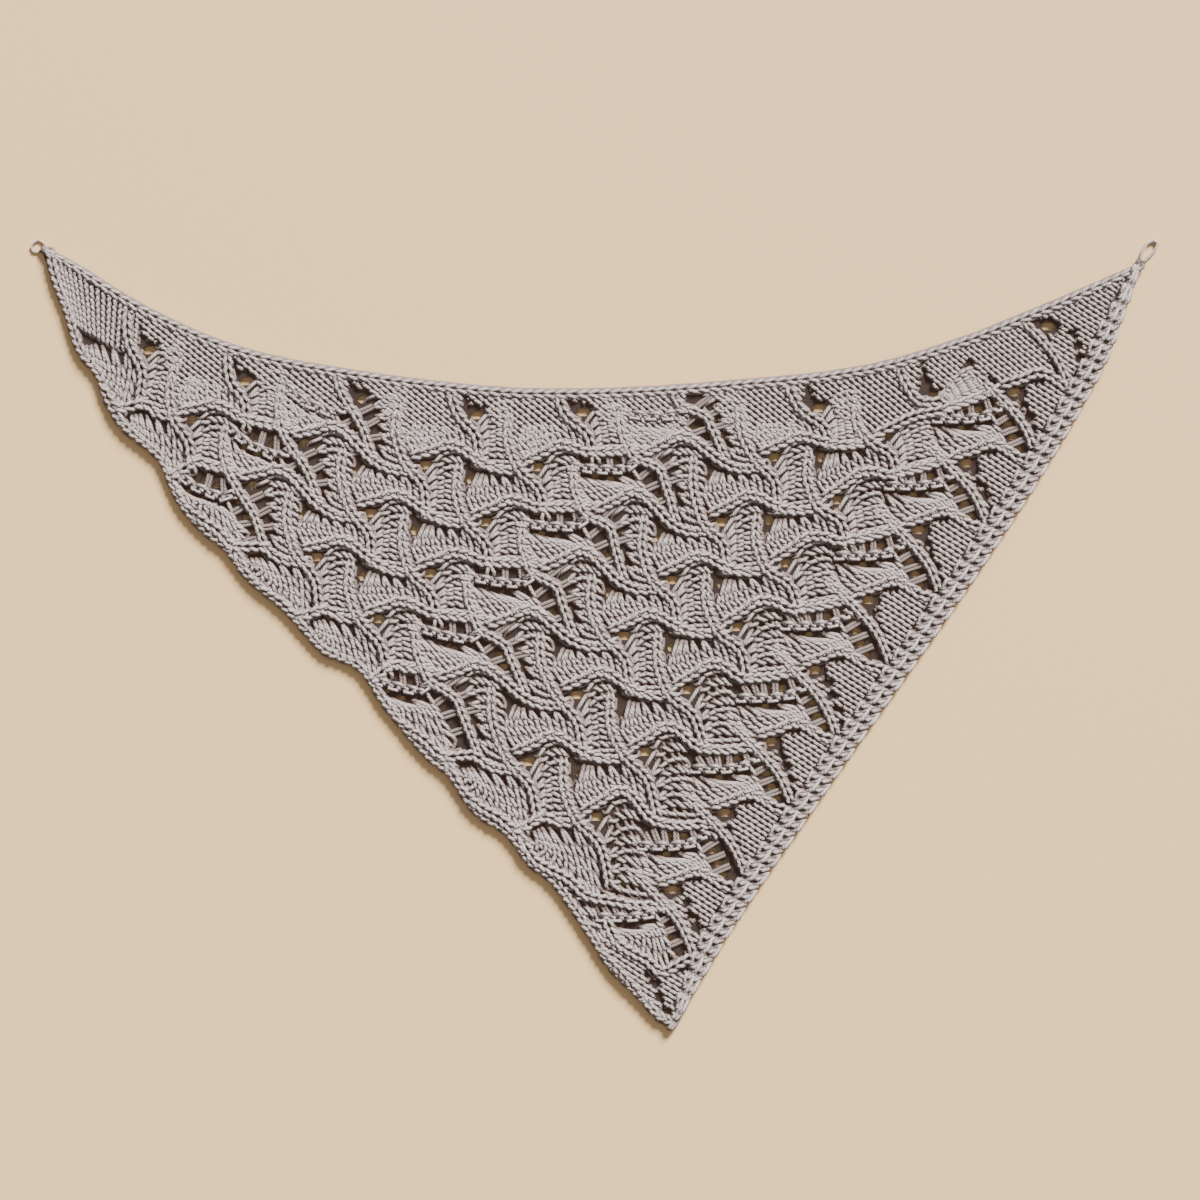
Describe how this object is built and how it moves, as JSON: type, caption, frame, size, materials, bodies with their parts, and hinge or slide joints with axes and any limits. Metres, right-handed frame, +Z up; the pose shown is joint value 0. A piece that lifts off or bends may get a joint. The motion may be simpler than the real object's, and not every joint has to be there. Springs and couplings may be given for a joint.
{
  "type": "lace bandana",
  "caption": "Hand-knitted triangular lace bandana in basket blocks with open holes, edged on two sides, with a thread loop at each upper tip, laid flat.",
  "frame": {"origin": "centre of the laid-out cloth's bounding box, on the surface that it lies on", "axes": "+X from the left tip to the right tip, +Y from the lower point towards the curved top edge, +Z up out of the cloth"},
  "size_m": [0.5654, 0.3938, 0.0052],
  "materials": {
    "knit_yarn": "matt plied cotton, greige",
    "top_edging_yarn": "matt plied cotton, greige",
    "right_edging_yarn": "matt plied cotton, greige",
    "left_thread": "thin pale thread, slightly glossy",
    "right_thread": "pale cotton thread"
  },
  "bodies": {
    "root": {"lace_panel": "knit_yarn", "top_edging": "top_edging_yarn", "right_edging": "right_edging_yarn", "left_loop": "left_thread", "right_loop": "right_thread"}
  },
  "joints": []
}
